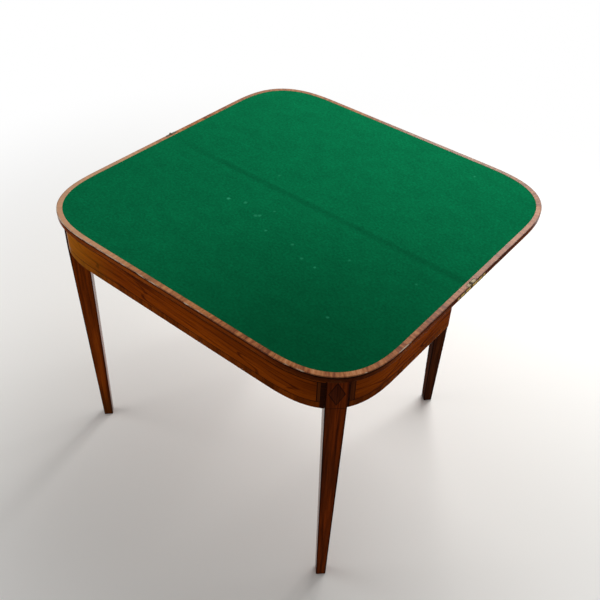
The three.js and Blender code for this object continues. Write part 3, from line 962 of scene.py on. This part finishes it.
def facesUp(face):
    return face.normal.z > 0.99


def divide(shape, low, high, axis):
    # cuts the cloth's upper face across into cells of even width
    count = math.ceil((high[axis] - low[axis]) / cloth["cell"])
    normal = [0.0, 0.0, 0.0]
    normal[axis] = 1.0
    for i in range(1, count):
        at = [0.0, 0.0, high.z]
        at[axis] = low[axis] + (high[axis] - low[axis]) * i / count
        parts = []
        for face in shape.faces:
            if facesUp(face) and face.calc_center_median().z > high.z - cloth["near"]:
                parts += [face, *face.edges, *face.verts]
        parts = list(dict.fromkeys(parts))
        bmesh.ops.bisect_plane(
            shape, geom=parts, dist=cloth["near"], plane_co=at, plane_no=normal,
        )


def leafCloth(leaf, away):
    low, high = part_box(f"{leaf}_baize")
    edge = banding["width"] + cloth["gap"]
    roll = cloth["roll"]
    loops = []
    for inset, drop in ((0.0, high.z - low.z), (0.0, roll), (roll, 0.0)):
        seamInset = inset * 0.8 - cloth["seamReach"]
        loops.append(leafLoop(away, edge + inset, seamInset, high.z - drop))
    piece = makePiece(f"{leaf}_cloth", "baize", f"{leaf}_baize", stacked(loops), ["baize"])
    shape = bmesh.new()
    shape.from_mesh(piece.data)
    for axis in (0, 1):
        divide(shape, low, high, axis)
    long, short = cloth["ripples"]
    for vertex in shape.verts:
        lying = vertex.co.z > high.z - cloth["near"]
        if lying and all(map(facesUp, vertex.link_faces)):
            ripple = noise.noise(vertex.co * long)
            ripple += cloth["shortShare"] * noise.noise(vertex.co * short)
            vertex.co.z += cloth["unevenness"] * (ripple - 1.0)
    shape.to_mesh(piece.data)
    shape.free()
    soften(piece, 30)


for leaf, away in (("fixed_leaf", -1), ("folding_leaf", 1)):
    leafBoard(leaf, away)
    leafBanding(leaf, away)
    leafCloth(leaf, away)
print("leaves made")


# Frieze: a veneered skin on the rails, with dark stringing let in flush

frieze = {
    "corner": 0.1965,
    "step": 0.004,
    "skin": 0.0003,  # stands this far out from the rail
    "bury": 0.0008,  # and reaches this far into it
    "arris": 0.0010,
    "stringing": 0.0016,
    "bottomLine": 0.0165,  # up from the bottom of the frieze to the lower line
    "topLine": 0.0160,  # down from its top to the upper line
    "ends": {  # outwards from the leg: reach of each upright strip, its veneer
        # the dark end bands are dark veneer, and the wider one on the front also stands in for
        # painted shade beside the leg
        "front": [(0.0095, "endBand"), (0.0150, "endStrip"), (0.0168, "ebonised")],
        "side": [(0.0040, "endBand"), (0.0128, "endStrip"), (0.0146, "ebonised")],
    },
}
railLow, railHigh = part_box("front_rail")
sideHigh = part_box("right_side_rail")[1]
friezePlan = {
    **top, "halfWidth": sideHigh.x, "halfDepth": -railLow.y, "start": -sideHigh.y,
    "cornerWidth": frieze["corner"], "cornerDepth": frieze["corner"], "step": frieze["step"],
}
leg = {
    "width": 0.0435,
    "foot": 0.023,
    "footShift": 0.004,  # the front feet stand in by this much
    "standsOut": 0.0025,  # past the curve of the frieze
    "arris": 0.0011,
    "arrisSteps": 3,
    "wearReach": 0.0025,  # the arris's painted shade reaches this far onto each face
    "footArris": 0.0015,
    "rings": 36,
}


def frontLegPlace(side):
    along = frieze["corner"] * (1 - math.sqrt(0.5) ** (2 / top["cornerPower"]))
    facing = math.atan2(-top["cornerWidth"], side * top["cornerDepth"])
    back = leg["width"] / 2 - leg["standsOut"]
    x = side * (friezePlan["halfWidth"] - along) - math.cos(facing) * back
    y = -(friezePlan["halfDepth"] - along) - math.sin(facing) * back
    return Matrix.Translation((x, y, 0)) @ Matrix.Rotation(facing, 4, "Z")


def between(a, b, share):
    return tuple(p + (q - p) * share for p, q in zip(a, b))


def friezeRuns():
    # splits the stations of the frieze at the sides of the legs, where each run ends
    runs = {"right_side": [], "front": [], "left_side": []}
    toLeg = {side: frontLegPlace(side).inverted() for side, _ in sides}
    half = leg["width"] / 2 + hingeSeat["clearance"]
    before = None
    for station in planStations(friezePlan, -1):
        side = 1 if station[0] > 0 else -1
        spot = toLeg[side] @ Vector((*station[:2], 0))
        if side * spot.y > half:
            where = "right_side" if side > 0 else "left_side"
        elif spot.x > 0 and abs(spot.y) <= half:
            where = None
        else:
            where = "front"
        if before is not None and where != before[0]:
            # the leg's side falls between two stations, so one is put exactly there
            a = (toLeg[side] @ Vector((*before[1][:2], 0))).y
            legSide = half if a + spot.y > 0 else -half
            share = (legSide - a) / (spot.y - a)
            runs[before[0] or where].append(between(before[1], station, share))
        if where:
            runs[where].append(station)
        before = (where, station)
    return runs


def splitRun(stations, marks):
    # adds a station at each marked distance from the run's start
    lengths = runLengths(stations)
    made = list(zip(lengths, stations))
    for mark in marks:
        for i in range(len(lengths) - 1):
            if lengths[i] < mark < lengths[i + 1]:
                share = (mark - lengths[i]) / (lengths[i + 1] - lengths[i])
                made.append((mark, between(stations[i], stations[i + 1], share)))
    made.sort(key=lambda pair: pair[0])
    return zip(*made)


def friezeKind(off, z, strips, lowLine, highLine):
    # the veneer at this distance from the leg and this height
    line = frieze["stringing"]
    if off < strips[0][0] and z < highLine:
        return strips[0][1]
    if lowLine < z < lowLine + line or highLine < z < highLine + line:
        return "ebonised"
    if z < lowLine or z > highLine:
        return "friezeBand"
    for reach, kind in strips:
        if off < reach:
            return kind
    return "frieze"


def friezeSkin(name, stations, legEnds, offset, end):
    # legEnds says whether the run starts and whether it ends at a leg
    strips = frieze["ends"][end]
    total = runLengths(stations)[-1]
    marks = []
    for reach, _ in strips:
        marks += [mark for mark, atLeg in zip((reach, total - reach), legEnds) if atLeg]
    alongs, placed = splitRun(stations, marks)
    bottom, topZ = railLow.z, railHigh.z
    line, arris = frieze["stringing"], frieze["arris"]
    lowLine = bottom + frieze["bottomLine"]
    highLine = topZ - frieze["topLine"]
    out, deep = -frieze["skin"], frieze["bury"]
    outer = [(deep, bottom, 0.6)]
    for inset, z in reversed(arc(out, bottom + arris, arris, 3, False)):
        outer.append((inset, z, 1.0))
    for z in (bottom + 2.5 * arris, lowLine, lowLine + line, highLine, highLine + line, topZ):
        outer.append((out, z, 0.0))
    outer.append((deep, topZ, 0.0))
    profile = [(inset, z, z, edge) for inset, z, edge in outer]
    shell, values = sweep(placed, profile, [offset + a for a in alongs], offset)
    names = ["frieze", "friezeBand", "ebonised", "endBand", "endStrip"]
    kinds = []
    for a, b in zip(alongs, alongs[1:]):
        middle = (a + b) / 2
        off = min(middle if legEnds[0] else total, total - middle if legEnds[1] else total)
        for low, high in zip(profile, profile[1:] + profile[:1]):
            kind = friezeKind(off, (low[1] + high[1]) / 2, strips, lowLine, highLine)
            kinds.append(names.index(kind))
    kinds += [names.index("friezeBand")] * 2
    where = (name, "mahogany_frieze", "front_rail")
    soften(makePiece(*where, shell, names, kinds, replaces=False, **values), 40)


runs = friezeRuns()
friezeSkin("right_side_frieze_veneer", runs["right_side"], (False, True), 0.0, "side")
friezeSkin("front_frieze_veneer", runs["front"], (True, True), 1.0, "front")
friezeSkin("left_side_frieze_veneer", runs["left_side"], (True, False), 3.0, "side")
for node in ("front_rail", "left_side_rail", "right_side_rail"):
    dress(node, finishes["rail"])
print("frieze made")


# Legs

gate = {"openDegrees": 49}


def roundedSquare(half):
    # (x, y, edge) round a leg, with two points on each face that keep the painted shade near the
    # arris
    radius, steps, reach = leg["arris"], leg["arrisSteps"], leg["wearReach"]
    corners = (((1, 1), (-1, 0)), ((-1, 1), (0, -1)), ((-1, -1), (1, 0)), ((1, -1), (0, 1)))
    made = []
    for quarter, ((sx, sy), (nx, ny)) in enumerate(corners):
        for i in range(steps + 1):
            turn = (quarter + i / steps) * math.pi / 2
            x = sx * (half - radius) + radius * math.cos(turn)
            y = sy * (half - radius) + radius * math.sin(turn)
            made.append((x, y, 1.0))
        for run in (reach, 2 * (half - radius - reach)):
            made.append((x + nx * run, y + ny * run, 0.0))
    return made


def makeLeg(node, place, footShift, finish):
    low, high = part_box(node)
    shoulder = railLow.z
    foot = leg["footArris"]
    levels = [(low.z, foot), (low.z + foot * 0.3, foot * 0.3), (low.z + foot, 0.0)]
    for i in range(1, leg["rings"] + 1):
        levels.append((low.z + foot + (shoulder - foot) * i / leg["rings"], 0.0))
    levels.append((high.z, 0.0))
    loops, edges = [], []
    for z, shrink in levels:
        share = min(1.0, z / shoulder)
        half = (leg["foot"] + (leg["width"] - leg["foot"]) * share) / 2 - shrink
        shift = -footShift * (1 - share)
        flat = roundedSquare(half)
        loops.append([place @ Vector((x + shift, y, z)) for x, y, _ in flat])
        edges += [edge for _, _, edge in flat]
    shell = stacked(loops)
    names = (f"{node}_tapered", "mahogany_leg", node)
    heights = [point.z for point in shell[0]]
    soften(makePiece(*names, shell, [finish], edge=edges, height=heights), 40)


def swingLegPlace(side, name):
    # the swing leg stands where its solid does, turned with its gate
    low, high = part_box(f"{name}_swing_leg")
    middle = (low + high) / 2
    turn = side * (math.radians(gate["openDegrees"]) + math.pi / 2)
    return Matrix.Translation((middle.x, middle.y, 0)) @ Matrix.Rotation(turn, 4, "Z")


for side, name in sides:
    tone = "leg" if side > 0 else "paleLeg"
    makeLeg(f"front_{name}_leg", frontLegPlace(side), leg["footShift"], tone)
    # painted shade: the swing legs take the darker, shaded mahogany
    makeLeg(f"{name}_swing_leg", swingLegPlace(side, name), 0.0, "darkLeg")
print("legs made")


# Lozenge inlay on the heads of the front legs, and a line round each leg below it

lozenge = {
    "width": 0.034,
    "height": 0.065,
    "outline": 0.0021,
    "middleLine": 0.0011,
    "thickness": 0.0006,
    "proud": 0.00006,
}
headLine = {"up": 0.0040, "height": 0.0012}  # its top, up from the frieze's lower edge


def makeInlay(side, name):
    # an outline of four strips, a line up the middle and two halves, all separate tiles
    place = frontLegPlace(side)
    low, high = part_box(f"front_{name}_leg_lozenge")
    middle = (low.z + high.z) / 2
    wide, tall = lozenge["width"] / 2, lozenge["height"] / 2
    slant = math.hypot(wide, tall)
    innerWide = wide - lozenge["outline"] * slant / tall
    innerTall = tall - lozenge["outline"] * slant / wide
    line = lozenge["middleLine"] / 2
    rise = innerTall * (1 - line / innerWide)
    tiles = []  # which of the three looks, and the corners
    around = [(1, 0), (0, 1), (-1, 0), (0, -1)]
    for a, b in zip(around, around[1:] + around[:1]):
        outer = [(p[0] * wide, p[1] * tall) for p in (a, b)]
        inner = [(p[0] * innerWide, p[1] * innerTall) for p in (b, a)]
        tiles.append((0, outer + inner))
    tiles += [
        (0, [(-line, -rise), (line, -rise), (line, rise), (-line, rise)]),
        (0, [(0.0, innerTall), (-line, rise), (line, rise)]),
        (0, [(0.0, -innerTall), (line, -rise), (-line, -rise)]),
        (2, [(line, -rise), (innerWide, 0.0), (line, rise)]),
        (1, [(-line, rise), (-innerWide, 0.0), (-line, -rise)]),
    ]
    face = leg["width"] / 2 + lozenge["proud"]
    points, faces, kinds = [], [], []
    for kind, corners in tiles:
        loops = []
        for x in (face, face - lozenge["thickness"]):
            loops.append([place @ Vector((x, across, middle + up)) for across, up in corners])
        more, tileFaces = stacked(loops)
        faces += [tuple(i + len(points) for i in f) for f in tileFaces]
        kinds += [kind] * len(tileFaces)
        points += more
    where = (f"{name}_lozenge_inlay", "lozenge_veneer", f"front_{name}_leg_lozenge")
    looks = ["lozengeLine", "lozengeLeft", "lozengeRight"]
    makePiece(*where, (points, faces), looks, kinds, merge=False)


def makeHeadLine(side, name):
    # a dark line let in round the leg where its head ends
    place = frontLegPlace(side)
    upper = railLow.z + headLine["up"]
    lower = upper - headLine["height"]
    outer, inner = lozenge["proud"], -lozenge["thickness"]
    loops = []
    for z, grow in ((upper, inner), (upper, outer), (lower, outer), (lower, inner)):
        flat = roundedSquare(leg["width"] / 2 + grow)
        loops.append([place @ Vector((x, y, z)) for x, y, _ in flat])
    where = (f"{name}_leg_head_line", "lozenge_veneer", "front_rail")
    soften(makePiece(*where, stacked(loops, closed=True), ["ebonised"], replaces=False), 40)


for side, name in sides:
    makeInlay(side, name)
    makeHeadLine(side, name)
print("inlay made")


# What is left of the frame keeps its solids and gets its own woods and metals

innerWoods = {  # the wood, and the way its grain runs in degrees from +X
    "inner_back_rail": ("pine", 0),
    "medial_brace": ("pine", 90),
    "left_glue_block": ("pine", 45),
    "right_glue_block": ("pine", -45),
    "gate_knuckle_block": ("beech", 0),
    "left_fly_rail": ("beech", -gate["openDegrees"]),
    "right_fly_rail": ("beech", gate["openDegrees"]),
}
for node in cadNodes:
    if "screw" in node or "pin" in node:
        dress(node, finishes["screwBrass" if "hinge" in node else "steel"])
    elif "hinge" in node:
        dress(node, finishes["brass"])
for node, (kind, degrees) in innerWoods.items():
    dress(node, plainWood(kind, degrees))
print("frame dressed")


# Floor and light

floor = {
    "half": 40.0,
    "colour": "#f3f1ed",
    "roughness": 0.9,
    "specular": 0.1,
    "fade": (0.6, 2.1),  # from the floor's own look to white, in metres from the middle
}
light = {
    "sky": 0.30,  # what the room gives from all round
    "boxes": {  # place, aim, size and power of each softbox
        "key": ((-0.1, 1.8, 1.85), (0.0, 0.0, 0.7), (1.6, 1.2), 56),
        "fill": ((-1.5, -1.35, 1.15), (-0.3, -0.4, 0.55), (1.2, 1.0), 9),
        "side": ((1.3, 1.6, 0.95), (0.44, -0.15, 0.6), (1.2, 0.9), 7),
    },
}


def showsBackdrop(tree):
    # 1 for what the camera sees directly, and for what metal and gloss reflect
    paths = addNode(tree, "LightPath").outputs
    return calc("MAXIMUM", paths["Is Camera Ray"], paths["Is Glossy Ray"])


def addFloor():
    half = floor["half"]
    mesh = bpy.data.meshes.new("floor")
    corners = [(-half, -half, 0), (half, -half, 0), (half, half, 0), (-half, half, 0)]
    mesh.from_pydata(corners, [], [(0, 1, 2, 3)])
    ground = addObject("floor", mesh)
    made, tree, shader = newFinish("paleFloor")
    put(shader, {
        "Base Color": paint(floor["colour"]),
        "Roughness": floor["roughness"],
        "Specular IOR Level": floor["specular"],
    })
    white = addNode(tree, "Emission", {"Color": (1, 1, 1, 1), "Strength": 1.0}).outputs[0]
    fade = ease(distance(objectPlace(tree), (0, 0, 0)), *floor["fade"])
    share = times(fade, showsBackdrop(tree))
    blend = after("MixShader", {0: share, 1: shader.outputs[0], 2: white})[0]
    put(tree.nodes["Material Output"], {"Surface": blend})
    mesh.materials.append(made)


def addSky():
    world = bpy.data.worlds.new("studio")
    scene.world = world
    world.use_nodes = True
    tree = world.node_tree
    strength = after("MapRange", {"Value": showsBackdrop(tree), "To Min": light["sky"]})[0]
    put(tree.nodes["Background"], {"Color": (1, 1, 1, 1), "Strength": strength})


def addSoftbox(name, place, aim, size, power):
    data = bpy.data.lights.new(name, "AREA")
    data.shape = "RECTANGLE"
    data.size, data.size_y = size
    data.energy = power
    lamp = addObject(name, data)
    lamp.location = Vector(place)
    lamp.rotation_euler = (Vector(aim) - Vector(place)).to_track_quat("-Z", "Y").to_euler()


addFloor()
addSky()
for name, settings in light["boxes"].items():
    addSoftbox(name, *settings)
print("floor and light made")
